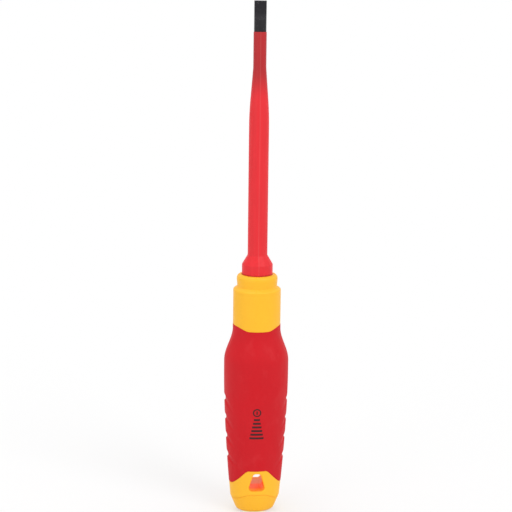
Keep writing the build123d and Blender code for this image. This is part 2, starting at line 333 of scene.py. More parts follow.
class NodeSheet:
    """The node tree of one material or world, filled by one method that adds any node."""

    def __init__(self, tree: bpy.types.NodeTree) -> None:
        """Empties the tree.

        Args:
            tree: the node tree to fill.
        """
        self.tree = tree
        tree.nodes.clear()

    def node(
        self,
        kind: str,
        settings: Mapping[str, object] | None = None,
        values: Mapping[str | int, object] | None = None,
        output: str | int = 0,
    ) -> Socket:
        """Adds one node.

        Args:
            kind: the node's type.
            settings: its properties, set first. "stops" gives a ramp's (position, colour) pairs.
            values: numbers, colours or Sockets for its inputs, by name or place.
            output: the name or place of the output that is returned.

        Returns:
            The chosen output, or the first one.
        """
        node = self.tree.nodes.new(kind)
        for name, value in (settings or {}).items():
            if name == "stops":
                elements = node.color_ramp.elements
                while len(elements) < len(value):
                    elements.new(1.0)
                for element, (position, colour) in zip(elements, value):
                    element.position = position
                    element.color = colour
            else:
                setattr(node, name, value)
        for name, value in (values or {}).items():
            if isinstance(value, Socket):
                self.tree.links.new(value.link, node.inputs[name])
            else:
                node.inputs[name].default_value = value
        return Socket(self, node.outputs[output]) if node.outputs else Socket(self, node.inputs[0])

    def place(self) -> Socket:
        """The shaded point in the tool's frame, in millimetres."""
        spot = self.node("ShaderNodeTexCoord", output="Object")
        scale = {"operation": "SCALE"}
        return self.node("ShaderNodeVectorMath", scale, {0: spot, "Scale": 1 / MM})

    def axis(self, place: Socket, name: str) -> Socket:
        """One coordinate, X, Y or Z, of a place."""
        return self.node("ShaderNodeSeparateXYZ", None, {0: place}, name)

    def noise(
        self,
        place: Socket,
        size: float,
        stretch: tuple[float, float, float] = (1, 1, 1),
        detail: float = 2.0,
    ) -> Socket:
        """Soft noise between 0 and 1.

        Args:
            place: where it is read, in millimetres.
            size: the size of its blotches in millimetres.
            stretch: how many times longer they are along each axis.
            detail: how many finer layers are added.

        Returns:
            The noise value.
        """
        scale = tuple(1 / (size * part) for part in stretch)
        spot = self.node("ShaderNodeVectorMath", {"operation": "MULTIPLY"}, {0: place, 1: scale})
        return self.node("ShaderNodeTexNoise", None, {"Vector": spot, "Scale": 1.0, "Detail": detail})

    def mix(self, factor: Socket | float, first: object, second: object) -> Socket:
        """Blends two colours, from the first at a factor of 0 to the second at 1."""
        values = {0: factor, 6: first, 7: second}
        return self.node("ShaderNodeMix", {"data_type": "RGBA"}, values, 2)

    def bump(self, height: Socket, depth: float, under: Socket | None = None) -> Socket:
        """Turns a height between 0 and 1 into a bumped normal.

        Args:
            height: the height.
            depth: what a height of 1 stands for, in millimetres.
            under: a normal that this one is added to.

        Returns:
            The normal.
        """
        values: dict[str | int, object] = {"Height": height, "Distance": depth * MM, "Strength": 1.0}
        if under is not None:
            values["Normal"] = under
        return self.node("ShaderNodeBump", None, values)


def tinted(colour: Colour, share: float) -> Colour:
    """The same colour, brighter or darker by a share."""
    return (colour[0] * share, colour[1] * share, colour[2] * share, 1.0)


@dataclass(frozen=True)
class MouldedPlastic:
    """Hard moulded plastic with a faint spark-eroded texture, cloudy colour and rubbed patches.

    Attributes:
        name: the material's name.
        colour: its colour, linear.
        cloud: how much the colour wanders, as a share.
        roughness: the least roughness, on rubbed patches.
        texture_depth: height of the moulded texture in millimetres.
        specular: the shader's specular level.
        painted_glow: strength of a painted glow, emission that stands in for light bounced inside bright
            plastic's hollows.
    """

    name: str
    colour: Colour
    cloud: float = 0.03
    roughness: float = 0.42
    texture_depth: float = 0.012
    specular: float = 0.3
    painted_glow: float = 0.0

    def base(self, sheet: NodeSheet, place: Socket) -> Socket:
        """The cloudy base colour."""
        drift = sheet.noise(place, 14.0, (1, 1, 2), 3.0)
        speck = sheet.noise(place, 1.1, detail=3.0)
        blend = (drift * 0.65 + speck * 0.35).between(0.3, 0.7)
        return sheet.mix(blend, tinted(self.colour, 1 - self.cloud), tinted(self.colour, 1 + self.cloud))

    def rough(self, sheet: NodeSheet, place: Socket) -> Socket:
        """Roughness, lower where hands rub the surface."""
        rubbed = sheet.noise(place, 6.0, (1, 1, 2.5), 4.0)
        return rubbed.between(0.35, 0.75) * 0.12 + self.roughness

    def normal(self, sheet: NodeSheet, place: Socket) -> Socket:
        """The moulded texture over a very shallow sink of the wall."""
        sink = sheet.bump(sheet.noise(place, 9.0, (1, 1, 2), 1.0), 0.05)
        return sheet.bump(sheet.noise(place, 0.22, detail=3.0), self.texture_depth, sink)

    def glow(self, sheet: NodeSheet, place: Socket) -> Socket | Colour:
        """Colour of its painted glow."""
        return self.colour

    def material(self) -> bpy.types.Material:
        """Makes the material.

        Returns:
            A material whose nodes hold this finish.
        """
        made = bpy.data.materials.new(self.name)
        made.use_nodes = True
        sheet = NodeSheet(made.node_tree)
        place = sheet.place()
        values = {
            "Base Color": self.base(sheet, place),
            "Roughness": self.rough(sheet, place),
            "Normal": self.normal(sheet, place),
            "Specular IOR Level": self.specular,
        }
        # Painted glow: emission that stands in for light bounced inside the hollows.
        if self.painted_glow:
            values["Emission Color"] = self.glow(sheet, place)
            values["Emission Strength"] = self.painted_glow
        shader = sheet.node("ShaderNodeBsdfPrincipled", None, values)
        sheet.node("ShaderNodeOutputMaterial", None, {"Surface": shader})
        return made


@dataclass(frozen=True)
class SleevePlastic(MouldedPlastic):
    """The blade's insulation: drawn lengthwise, and darker where it is thin over black steel.

    Attributes:
        thin_colour: colour of the thin nose.
        thick_height: height below which the wall is full.
        thin_height: height above which the wall is thinnest.
        joint_height: height of the joint with the collar, where a dark line of painted shade is laid.
    """

    thin_colour: Colour = (0.5, 0.05, 0.05, 1.0)
    thick_height: float = 0.0
    thin_height: float = 1.0
    joint_height: float = high("neck_collar").z

    def base(self, sheet: NodeSheet, place: Socket) -> Socket:
        """Lengthwise streaks, over the colour that the wall's thickness gives, with a painted highlight on the
        parting lines and painted shade at the collar joint.
        """
        height = sheet.axis(place, "Z")
        wall = height.between(self.thick_height, self.thin_height)
        streak = sheet.noise(place, 0.9, (1, 1, 22), 3.0)
        patch = sheet.noise(place, 3.0, (1, 1, 3), 2.0)
        blend = (streak * 0.7 + patch * 0.3).between(0.3, 0.7)
        colour = sheet.mix(wall, self.colour, self.thin_colour)
        shadow = sheet.mix(wall, tinted(self.colour, 1 - self.cloud), tinted(self.thin_colour, 0.93))
        light = sheet.mix(0.5, colour, sheet.mix(wall, tinted(self.colour, 1.05), self.thin_colour))
        # Pale line on the parting lines at front and back: painted highlight over the moulded ridge.
        parting = abs(sheet.axis(place, "X")).between(0.4, 0.1) * 0.03
        lined = sheet.mix(parting, sheet.mix(blend, shadow, light), (1, 0.7, 0.65, 1))
        # Dark line at the collar joint: painted shade.
        joint = abs(height - self.joint_height).between(0.7, 0.25) * 0.55
        return sheet.mix(joint, lined, tinted(self.colour, 0.4))

    def normal(self, sheet: NodeSheet, place: Socket) -> Socket:
        """Fine drawn lines along the sleeve."""
        lines = sheet.bump(sheet.noise(place, 0.35, (1, 1, 30), 2.0), 0.02)
        return sheet.bump(sheet.noise(place, 0.25, detail=2.0), self.texture_depth, lines)


@dataclass(frozen=True)
class RearPlastic(MouldedPlastic):
    """The yellow round the hang hole, painted orange inside the hole as light bounced between its walls.

    Attributes:
        inside: its colour inside the hole, orange as painted light bounced between the walls.
        far_painted_reflection: its colour at the back of the hole, paled by a painted reflection of the white
            floor.
        depths: how deep it starts to turn and is fully turned, as one less the squared share of the
            way out to the surface.
        seam_crown: height of the seam's crown.
        seam_rise: how far the crown stands above the seam's ends.
        half_hole: half the width of the hole with its lips.
        width_start: half the handle's width, carried down to the floor.
        width_growth: growth of that half width with height.
        thickness_start: half its thickness, carried down to the floor.
        thickness_growth: growth of that half thickness with height.
    """

    inside: Colour = srgb(255, 146, 28)
    far_painted_reflection: Colour = srgb(230, 158, 112)
    depths: tuple[float, float] = (0.02, 0.13)
    seam_crown: float = high("end_cap").z
    seam_rise: float = 3.0
    half_hole: float = 5.0
    width_start: float = 11.23
    width_growth: float = 0.084
    thickness_start: float = 8.42
    thickness_growth: float = 0.107

    def hollow(self, sheet: NodeSheet, place: Socket) -> Socket:
        """Mask that is 1 on the walls of the hang hole."""
        height = sheet.axis(place, "Z")
        across = sheet.axis(place, "X") / (height * self.width_growth + self.width_start)
        through = sheet.axis(place, "Y") / (height * self.thickness_growth + self.thickness_start)
        depth = (1 - across * across - through * through).between(*self.depths)
        within = abs(sheet.axis(place, "X")).between(self.half_hole + 0.4, self.half_hole)
        return depth * within * height.between(11.0, 11.4)

    def seam(self, sheet: NodeSheet, place: Socket) -> Socket:
        """Mask of the painted shade along the arched seam."""
        outward = abs(sheet.axis(place, "X")).between(4.0, 10.4)
        off_line = sheet.axis(place, "Z") - self.seam_crown + outward * self.seam_rise
        return abs(off_line).between(0.6, 0.15)

    def base(self, sheet: NodeSheet, place: Socket) -> Socket:
        """The cloudy yellow, with painted orange light and a painted reflection inside the hole, and a faint
        line of painted shade in the seam.
        """
        plain = super().base(sheet, place)
        # Painted shade darkens the seam's crease.
        seam_painted_shade = sheet.mix(self.seam(sheet, place) * 0.14, plain, tinted(self.inside, 0.8))
        # Painted bounced light inside the hole, paled towards the back by a painted reflection.
        hole_painted_light = sheet.mix(sheet.axis(place, "Y").between(0.0, 4.0), self.inside, self.far_painted_reflection)
        return sheet.mix(self.hollow(sheet, place), seam_painted_shade, hole_painted_light)

    def glow(self, sheet: NodeSheet, place: Socket) -> Socket | Colour:
        """Painted orange glow inside the hole and none elsewhere."""
        return sheet.mix(self.hollow(sheet, place), (0, 0, 0, 1), self.inside)


@dataclass(frozen=True)
class CorePlastic(MouldedPlastic):
    """The red core, paled towards the back of the hang hole by a painted reflection of the white floor.

    Attributes:
        painted_reflection: its colour there.
    """

    painted_reflection: Colour = srgb(232, 158, 118)

    def base(self, sheet: NodeSheet, place: Socket) -> Socket:
        """The cloudy red, turning pale towards the back as a painted reflection."""
        plain = super().base(sheet, place)
        return sheet.mix(sheet.axis(place, "Y").between(-2.0, 1.5), plain, self.painted_reflection)

    def glow(self, sheet: NodeSheet, place: Socket) -> Socket | Colour:
        """A painted glow in the same two colours."""
        return sheet.mix(sheet.axis(place, "Y").between(-2.0, 1.5), self.colour, self.painted_reflection)


@dataclass(frozen=True)
class SoftRubber(MouldedPlastic):
    """Matt soft grip with a fine leathery texture and paler handled patches.

    Attributes:
        bloom: how much paler the handled patches are, as a share.
    """

    bloom: float = 0.04

    def base(self, sheet: NodeSheet, place: Socket) -> Socket:
        """The cloudy colour with a faint bloom."""
        plain = super().base(sheet, place)
        handled = sheet.noise(place, 4.5, (1, 1, 1.6), 5.0).between(0.52, 0.78)
        pale = (self.colour[0] * (1 + self.bloom), self.colour[1] + self.bloom * 0.35,
                self.colour[2] + self.bloom * 0.35, 1.0)
        return sheet.mix(handled * 0.5, plain, pale)

    def normal(self, sheet: NodeSheet, place: Socket) -> Socket:
        """Pebbled texture from the mould."""
        settings = {"feature": "SMOOTH_F1"}
        pebble = sheet.node("ShaderNodeTexVoronoi", settings, {"Vector": place, "Scale": 3.2, "Smoothness": 0.6})
        coarse = sheet.bump(sheet.noise(place, 7.0, (1, 1, 1.5), 2.0), 0.06)
        return sheet.bump(pebble * 0.8 + sheet.noise(place, 0.2, detail=2.0) * 0.4, self.texture_depth, coarse)


@dataclass(frozen=True)
class BlackedSteel(MouldedPlastic):
    """Chemically blacked steel with grinding lines, pits, edges rubbed a little bright, and pale nicks painted
    as glints.

    Attributes:
        worn_and_glint: colour of the bare rubbed metal and of the painted glints.
        tip_height: height of the tip's end.
        half_width: half the tip's width.
    """

    worn_and_glint: Colour = (0.2, 0.2, 0.21, 1.0)
    tip_height: float = 0.0
    half_width: float = 1.0

    def wear_and_glints(self, sheet: NodeSheet, place: Socket) -> Socket:
        """Mask of bright rubbed metal along the tip's end and its long edges, and of painted glints on scattered
        nicks.
        """
        rise = sheet.axis(place, "Z")
        side = abs(sheet.axis(place, "X"))
        end = rise.between(self.tip_height - 0.5, self.tip_height)
        edge = side.between(self.half_width - 0.25, self.half_width) * 0.35
        broken = sheet.noise(place, 0.5, detail=4.0).between(0.45, 0.7)
        # Scattered nicks: scratches painted pale as glints.
        nick_glint = sheet.noise(place, 0.34, (1, 1, 1.4), 1.0).between(0.7, 0.77)
        return (end | edge) * broken | nick_glint * 0.8

    def base(self, sheet: NodeSheet, place: Socket) -> Socket:
        """Black with uneven bluing, rubbed bright spots and painted glints."""
        plain = super().base(sheet, place)
        return sheet.mix(self.wear_and_glints(sheet, place), plain, self.worn_and_glint)

    def rough(self, sheet: NodeSheet, place: Socket) -> Socket:
        """Satin, smoother on the rubbed metal and the painted glints."""
        return super().rough(sheet, place) - self.wear_and_glints(sheet, place) * 0.1

    def normal(self, sheet: NodeSheet, place: Socket) -> Socket:
        """Grinding lines across the blade and fine pits."""
        lines = sheet.bump(sheet.noise(place, 0.12, (30, 30, 1), 2.0), 0.012)
        return sheet.bump(sheet.noise(place, 0.3, detail=4.0), self.texture_depth, lines)


def dress(piece: bpy.types.Object, finish: MouldedPlastic) -> None:
    """Gives a piece one finish in all its material slots.

    Args:
        piece: the mesh object.
        finish: the finish, made once for each name.
    """
    made = bpy.data.materials.get(finish.name) or finish.material()
    if not piece.data.materials:
        piece.data.materials.append(made)
    for index in range(len(piece.material_slots)):
        piece.material_slots[index].material = made


def seat(piece: bpy.types.Object, node: str) -> None:
    """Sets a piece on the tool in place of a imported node.

    Args:
        piece: the new piece.
        node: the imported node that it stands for.
    """
    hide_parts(node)
    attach(piece, "root")


@dataclass(frozen=True)
class HandleForm:
    """The handle's outer form, an oval at every height and round at the neck."""

    grip_proud: float = 0.1
    neck_radius: float = high("neck_collar").x + 0.1
    palm_half_width: float = 15.2
    palm_half_thickness: float = 14.5
    rim: float = high("neck_collar").z
    palm_drop: float = 48.0
    shoulder_top_drop: float = 26.0
    shoulder_length: float = 15.4
    end_half_width: float = 11.1
    end_half_thickness: float = 8.35
    width_curve: float = 1.7
    thickness_curve: float = 1.3
    cover: float = 2.6
    skirt_depth: float = 1.5

    def half_size(self, height: np.ndarray | float) -> tuple[np.ndarray, np.ndarray]:
        """Half width across X and half thickness across Y at each height."""
        rise = (self.rim - self.shoulder_top_drop - height) / self.shoulder_length
        swell = ease(rise)
        fall = np.clip(1 - height / (self.rim - self.palm_drop), 0, None)
        width = self.neck_radius + (self.palm_half_width - self.neck_radius) * swell
        thickness = self.neck_radius + (self.palm_half_thickness - self.neck_radius) * swell
        width = width - (self.palm_half_width - self.end_half_width) * fall**self.width_curve
        lost = (self.palm_half_thickness - self.end_half_thickness) * fall**self.thickness_curve
        return width, thickness - lost

    def point(self, turn: np.ndarray, height: np.ndarray | float, inset: float = 0.0) -> np.ndarray:
        """Points of the form at each turn and height.

        Args:
            turn: turns about the axis.
            height: heights, one for each turn or one for all.
            inset: how far inside the form they lie.

        Returns:
            The points, with X, Y and Z in the last axis.
        """
        half_width, half_thickness = self.half_size(height)
        across = (half_width - inset) * np.sin(turn)
        through = -(half_thickness - inset) * np.cos(turn)
        return np.stack(np.broadcast_arrays(across, through, height), axis=-1)

    def front(self, across: np.ndarray, height: np.ndarray, inset: float = 0.0) -> np.ndarray:
        """Points of the front face that lie at each place across X and height."""
        half_width, half_thickness = self.half_size(height)
        share = np.clip(across / (half_width - inset), -1, 1)
        through = -(half_thickness - inset) * np.sqrt(1 - share**2)
        return np.stack(np.broadcast_arrays(across, through, height), axis=-1)

    def ring(self, turns: np.ndarray, section: Sequence[tuple[float, np.ndarray | float]]) -> np.ndarray:
        """Sweeps a section of (inset, height) pairs round the form."""
        return np.stack([self.point(turns, height + 0 * turns, inset) for inset, height in section])


@dataclass(frozen=True)
class EdgeLine:
    """A parting edge that dips or rises across the front and back of the handle.

    Attributes:
        corners: (offset from the middle, height) of its corners, from the middle outwards.
        reach: half the length over which a corner is rounded.
    """

    corners: tuple[tuple[float, float], ...]
    reach: float

    def height(self, offset: np.ndarray) -> np.ndarray:
        """Height of the edge at each offset across X."""
        spread = np.abs(offset)[..., None] + np.linspace(-self.reach, self.reach, 13)
        offsets, heights = zip(*self.corners)
        return np.interp(np.abs(spread), offsets, heights).mean(axis=-1)

    def on(self, form: HandleForm, turn: np.ndarray) -> np.ndarray:
        """Height at which the edge crosses the form at each turn."""
        height = np.full_like(turn, self.corners[0][1])
        for _ in range(12):
            height = self.height(form.half_size(height)[0] * np.sin(turn))
        return height


@dataclass(frozen=True)
class HandleEdges:
    """The three parting edges that the handle's mouldings share."""

    form: HandleForm
    seam_side: float = 7.8
    seam_end: float = 7.2
    seam_crown: float = high("end_cap").z

    @property
    def seam(self) -> EdgeLine:
        """The end cap's arched parting line."""
        side = self.form.half_size(self.seam_side)[0]
        corners = ((4.6, self.seam_crown), (9.6, self.seam_end + 0.3), (float(side), self.seam_end))
        return EdgeLine(corners, 1.6)

    @property
    def shell(self) -> EdgeLine:
        """The humped upper edge of the rear shell."""
        return EdgeLine(((4.9, 22.8), (11.8, low("soft_grip").z)), 1.0)

    @property
    def collar(self) -> EdgeLine:
        """The lower edge of the neck collar."""
        return EdgeLine(((5.4, self.form.rim - 25.5), (9.6, self.form.rim - 23.9)), 0.8)


@dataclass
class SteelBlade:
    """The steel bar: ground slotted tip, round head, reduced neck, shank and winged tang."""

    finish: MouldedPlastic
    tip: float = high("blade").z
    tang_end: float = low("blade").z
    nose_top: float = high("blade_insulation").z
    head_radius: float = 2.78
    neck_radius: float = 2.1
    shank_radius: float = 3.0
    half_face: float = 0.5
    flat_length: float = 5.0
    wheel_radius: float = 4.2
    bevel: float = 0.07
    nose_length: float = 16.0
    taper_length: float = 20.5
    wing_size: tuple[float, float, float] = (10.0, 2.4, 12.0)
    wing_height: float = 52.0
    flat_points: int = 7
    round_points: int = 14

    def section(self, radius: float, face: float, height: float) -> np.ndarray:
        """A ring of points round the bar.

        Args:
            radius: radius of the round.
            face: half the thickness between the ground faces, or the radius where there are none.
            height: height of the ring.

        Returns:
            The points, from the middle of the front face round by +X.
        """
        corner = math.acos(min(1.0, face / radius))
        eased = min(self.bevel, radius * corner * 0.3)
        flat = np.linspace(0, radius * math.sin(corner) - eased, self.flat_points)
        angles = np.linspace(corner + eased / radius, QUARTER, self.round_points)
        across = np.concatenate([flat, radius * np.sin(angles)])
        through = np.concatenate([np.full(self.flat_points, face), radius * np.cos(angles)])
        quarters = []
        for side, sign, backwards in ((1, -1, False), (1, 1, True), (-1, 1, False), (-1, -1, True)):
            step = slice(None, None, -1) if backwards else slice(None)
            quarter = np.stack([side * across[step], sign * through[step]], axis=-1)
            quarters.append(quarter[:-1])
        ring = np.concatenate(quarters)
        return np.column_stack([ring, np.full(len(ring), height)])

    def rows(self) -> list[tuple[float, float, float]]:
        """Radius, half thickness and height of each ring, from the tang up to the tip."""
        shank, neck, head, bevel = self.shank_radius, self.neck_radius, self.head_radius, self.bevel
        nose_bottom = self.nose_top - self.nose_length
        bar = [
            (shank - 0.8, self.tang_end),
            (shank, self.tang_end + 0.8),
            (shank, nose_bottom - self.taper_length),
            (neck, nose_bottom),
            (neck, self.nose_top),
            (head - bevel, self.nose_top),
            (head, self.nose_top + bevel),
        ]
        path = spaced(np.array(bar), 8.0)
        rows = [(radius, radius, height) for radius, height in path.tolist()]
        flat_start = self.tip - self.flat_length
        drop = head - self.half_face
        runout = math.sqrt(self.wheel_radius**2 - (self.wheel_radius - drop) ** 2)
        for share in np.linspace(1, 0, 19).tolist():
            below = runout * share
            bulge = self.wheel_radius - math.sqrt(self.wheel_radius**2 - below**2)
            rows.append((head, self.half_face + bulge, flat_start - below))
        for height in np.linspace(flat_start, self.tip - bevel, 8).tolist()[1:]:
            rows.append((head, self.half_face, height))
        rows.append((head - bevel, self.half_face - bevel, self.tip))
        return rows

    def build(self) -> list[bpy.types.Object]:
        """Makes the bar and the tang's wings.

        Returns:
            The two pieces.
        """
        skin = Skin("steel_blade")
        rings = np.stack([self.section(*row) for row in self.rows()])
        skin.sheet(rings, wrap_columns=True)
        skin.cap(rings[0])
        skin.cap(rings[-1])
        return [skin.make(), self.wings()]

    def wings(self) -> bpy.types.Object:
        """The forged wings that key the tang into the core."""
        half = [size / 2 for size in self.wing_size]
        outline = rounded_path([(x * half[0], y * half[1], 0.5) for x, y in
                                ((1, -1), (1, 1), (-1, 1), (-1, -1))], closed=True)
        skin = Skin("tang_wings")
        rings = []
        for inset, rise in ((0.4, 0.0), (0.0, 0.4), (0.0, self.wing_size[2] - 0.4), (0.4, self.wing_size[2])):
            shrink = 1 - inset / np.array(half[:2])
            level = np.full(len(outline), self.wing_height + rise)
            rings.append(np.column_stack([outline * shrink, level]))
        skin.sheet(np.stack(rings), wrap_columns=True)
        skin.cap(rings[0])
        skin.cap(rings[-1])
        return skin.make()

    def dress(self, pieces: Sequence[bpy.types.Object]) -> None:
        """Finishes the pieces and sets them on the tool."""
        for piece in pieces:
            dress(piece, self.finish)
            seat(piece, "blade")


@dataclass
class InsulatingSleeve:
    """The sleeve moulded over the blade, with its cone, flare and locking spigot."""

    finish: MouldedPlastic
    top: float = high("blade_insulation").z
    bottom: float = low("blade_insulation").z
    rim: float = high("neck_collar").z
    nose_radius: float = 2.96
    nose_length: float = 16.0
    bend_drop: float = 36.5
    bend_radius: float = 165.0
    body_radius: float = 4.58
    cone_top: float = 9.1
    cone_bottom: float = 4.7
    flare_radius: float = high("blade_insulation").x
    seat_depth: float = 3.5
    spigot_radius: float = 5.5
    groove_depth: float = 0.8
    groove_width: float = 2.5
    groove_pitch: float = 5.0
    groove_count: int = 2
    bore_neck: float = 2.1
    bore_shank: float = 3.0
    parting_height: float = 0.05
    parting_width: float = 0.3
    columns: int = 120

    def turns(self) -> np.ndarray:
        """Turns of the columns, with extra ones on the two parting lines."""
        even = np.arange(self.columns) * 2 * math.pi / self.columns
        spread = np.linspace(-1, 1, 7) * self.parting_width / self.body_radius
        lines = np.concatenate([spread % (2 * math.pi), spread + math.pi])
        clear = [turn for turn in even.tolist() if self.parting(np.array([turn]))[0] == 0]
        return np.sort(np.unique(np.round(np.concatenate([np.array(clear), lines]), 9)))

    def parting(self, turns: np.ndarray) -> np.ndarray:
        """Height of the mould's parting lines, at the front and the back."""
        from_line = np.abs((turns + QUARTER) % math.pi - QUARTER) * self.body_radius
        return self.parting_height * ease(1 - from_line / self.parting_width)

    def outline(self) -> tuple[np.ndarray, int]:
        """The section, and how many of its points lie on the outside.

        Returns:
            The closed path of (radius, height), and the number of its outer points.
        """
        rim, top = self.rim, self.top
        outer = spaced(rounded_path([
            (self.bore_neck, top, 0),
            (self.nose_radius, top, 0.22),
            (self.nose_radius, top - self.nose_length, 30.0),
            (self.body_radius, top - self.bend_drop, self.bend_radius),
            (self.body_radius, rim + self.cone_top, 1.2),
            (self.flare_radius, rim + self.cone_bottom, 0.45),
            (self.flare_radius, rim - self.seat_depth, 0),
        ]), 2.5)
        inner = [(self.spigot_radius, rim - self.seat_depth)]
        for step in reversed(range(self.groove_count)):
            low_edge = self.bottom + self.groove_pitch * (step + 0.5)
            floor = self.spigot_radius - self.groove_depth
            high_edge = low_edge + self.groove_width
            inner += [(self.spigot_radius, high_edge), (floor, high_edge)]
            inner += [(floor, low_edge), (self.spigot_radius, low_edge)]
        inner += [
            (self.spigot_radius, self.bottom),
            (self.bore_shank, self.bottom),
            (self.bore_shank, top - self.bend_drop),
            (self.bore_neck, top - self.nose_length),
            (self.bore_neck, top - 0.5),
        ]
        return np.concatenate([outer, spaced(np.array(inner), 6.0)]), len(outer)

    def build(self) -> bpy.types.Object:
        """Makes the sleeve.

        Returns:
            The piece.
        """
        turns = self.turns()
        path, outside = self.outline()
        grid = turned(path, turns)
        line = self.parting(turns)
        raised = turned(path[1:outside], turns, line)
        grid[1:outside] = raised
        skin = Skin("blade_sleeve")
        skin.sheet(grid, wrap_rows=True, wrap_columns=True)
        return skin.make()

    def dress(self, piece: bpy.types.Object) -> None:
        """Finishes the sleeve and sets it on the tool."""
        dress(piece, self.finish)
        seat(piece, "blade_insulation")


@dataclass
class NeckCollar:
    """The yellow collar, with a lipped rim round the flare and a skirt under the grip."""

    form: HandleForm
    edges: HandleEdges
    finish: MouldedPlastic
    lip_radius: float = 9.52
    lip_height: float = 2.6
    lip_round: float = 1.85
    waist_radius: float = 9.25
    step_drop: float = 5.7
    shoulder_drop: float = 7.1
    shoulder_round: float = 0.7
    flare_radius: float = high("blade_insulation").x
    flare_gap: float = 0.1
    gap_depth: float = 1.1
    seat_depth: float = 3.5
    spigot_radius: float = 5.5
    core_top: float = high("inner_core").z
    skirt_bottom: float = low("neck_collar").z
    edge_radius: float = 0.2
    columns: int = 240

    def build(self) -> bpy.types.Object:
        """Makes the collar.

        Returns:
            The piece.
        """
        turns = np.arange(self.columns) * 2 * math.pi / self.columns
        form, rim = self.form, self.form.rim
        neck = form.neck_radius
        proud = neck - form.grip_proud
        upper = spaced(rounded_path([
            (self.flare_radius, rim - self.gap_depth, 0),
            (self.flare_radius + self.flare_gap, rim - self.gap_depth + 0.2, 0),
            (self.flare_radius + self.flare_gap, rim, 0.12),
            (self.lip_radius, rim, self.lip_round),
            (self.lip_radius, rim - self.lip_height, 2.0),
            (self.waist_radius, rim - self.step_drop, 0.45),
            (proud, rim - self.shoulder_drop, self.shoulder_round),
            (proud, rim - self.shoulder_drop - 4.0, 0),
        ], steps=8), 1.2)
        section = [(neck - radius, height) for radius, height in upper.tolist()]
        edge = self.edges.collar.on(form, turns)
        start = section[-1][1]
        for share in np.linspace(0, 1, 9).tolist()[1:]:
            section.append((form.grip_proud, start + (edge + self.edge_radius - start) * share))
        for inset, rise in reversed(edge_round(self.edge_radius)[:-1]):
            section.append((form.grip_proud + inset, edge + rise))
        section.append((form.skirt_depth, edge))
        for share in np.linspace(0, 1, 6).tolist()[1:]:
            section.append((form.skirt_depth, edge + (self.skirt_bottom - edge) * share))
        for height in np.linspace(self.skirt_bottom, self.core_top, 10).tolist():
            section.append((form.cover, height))
        section += [
            (neck - self.spigot_radius, self.core_top),
            (neck - self.spigot_radius, rim - self.seat_depth),
            (neck - self.flare_radius, rim - self.seat_depth),
        ]
        skin = Skin("neck_collar_yellow")
        skin.sheet(form.ring(turns, section), wrap_rows=True, wrap_columns=True)
        return skin.make()

    def dress(self, piece: bpy.types.Object) -> None:
        """Finishes the collar and sets it on the tool."""
        dress(piece, self.finish)
        seat(piece, "neck_collar")


@dataclass
class SoftGrip:
    """The soft red grip, with rows of arched scallops down each side."""

    form: HandleForm
    edges: HandleEdges
    finish: MouldedPlastic
    edge_radius: float = 0.3
    scallop_count: int = 4
    scallop_first: float = 28.1
    scallop_pitch: float = 9.4
    scallop_depth: float = 0.62
    scallop_floor: float = 0.5
    scallop_fade: float = 2.3
    scallop_ledge: float = 1.0
    scallop_reach: float = 9.2
    scallop_drop: float = 4.6
    skirt_top: float = high("rear_shell").z
    skirt_bottom: float = low("neck_collar").z
    fine_from: float = 20.5
    fine_to: float = 61.5
    fine_step: float = 0.2
    coarse_step: float = 0.9
    columns: int = 264

    def scallops(self, points: np.ndarray) -> np.ndarray:
        """How deep the scallops are at each point of the plain form."""
        across = np.abs(points[..., 1]) / self.scallop_reach
        fade = ease(1.25 * (1 - across))
        depth = np.zeros(across.shape)
        for index in range(self.scallop_count):
            crown = self.scallop_first + self.scallop_pitch * index
            rise = points[..., 2] - (crown - self.scallop_drop * across**2)
            above = ease(1 - (rise - self.scallop_floor) / self.scallop_fade)
            below = ease(1 + (rise + self.scallop_floor) / self.scallop_ledge)
            shape = np.where(rise > 0, above, below)
            depth = np.maximum(depth, self.scallop_depth * fade * shape)
        return depth

    def levels(self) -> np.ndarray:
        """Shares of the way up the grip's side at which its rows lie."""
        bottom = self.edges.shell.corners[-1][1] + self.edge_radius
        top = self.edges.collar.corners[-1][1] - self.edge_radius
        coarse = np.arange(bottom, self.fine_from, self.coarse_step)
        fine = np.arange(self.fine_from, self.fine_to, self.fine_step)
        upper = np.linspace(self.fine_to, top, math.ceil((top - self.fine_to) / self.coarse_step))
        heights = np.concatenate([coarse, fine, upper])
        return (heights - bottom) / (top - bottom)

    def build(self) -> bpy.types.Object:
        """Makes the grip.

        Returns:
            The piece.
        """
        turns = np.arange(self.columns) * 2 * math.pi / self.columns
        form, radius = self.form, self.edge_radius
        bottom = self.edges.shell.on(form, turns)
        top = self.edges.collar.on(form, turns)
        heights = bottom + radius + self.levels()[:, None] * (top - bottom - 2 * radius)
        plain = form.point(turns, heights)
        depth = self.scallops(plain)[..., None]
        outward = plain * np.array([1, 1, 0])
        outward = outward / np.linalg.norm(outward, axis=-1, keepdims=True)
        outer = plain - outward * depth
        rounding = edge_round(radius)[:-1]
        lower_edge = form.ring(turns, [(inset, bottom + rise) for inset, rise in rounding])
        upper_edge = form.ring(turns, [(inset, top - rise) for inset, rise in reversed(rounding)])
        inner = [
            (form.skirt_depth, top),
            (form.skirt_depth, self.skirt_bottom),
            *[(form.cover, height) for height in np.linspace(self.skirt_bottom, self.skirt_top, 24).tolist()],
            (form.skirt_depth, self.skirt_top),
            (form.skirt_depth, bottom),
        ]
        skin = Skin("grip_red_soft")
        rows = np.concatenate([lower_edge, outer, upper_edge, form.ring(turns, inner)])
        skin.sheet(rows, wrap_rows=True, wrap_columns=True)
        return skin.make()

    def dress(self, piece: bpy.types.Object) -> None:
        """Finishes the grip and sets it on the tool."""
        dress(piece, self.finish)
        seat(piece, "soft_grip")


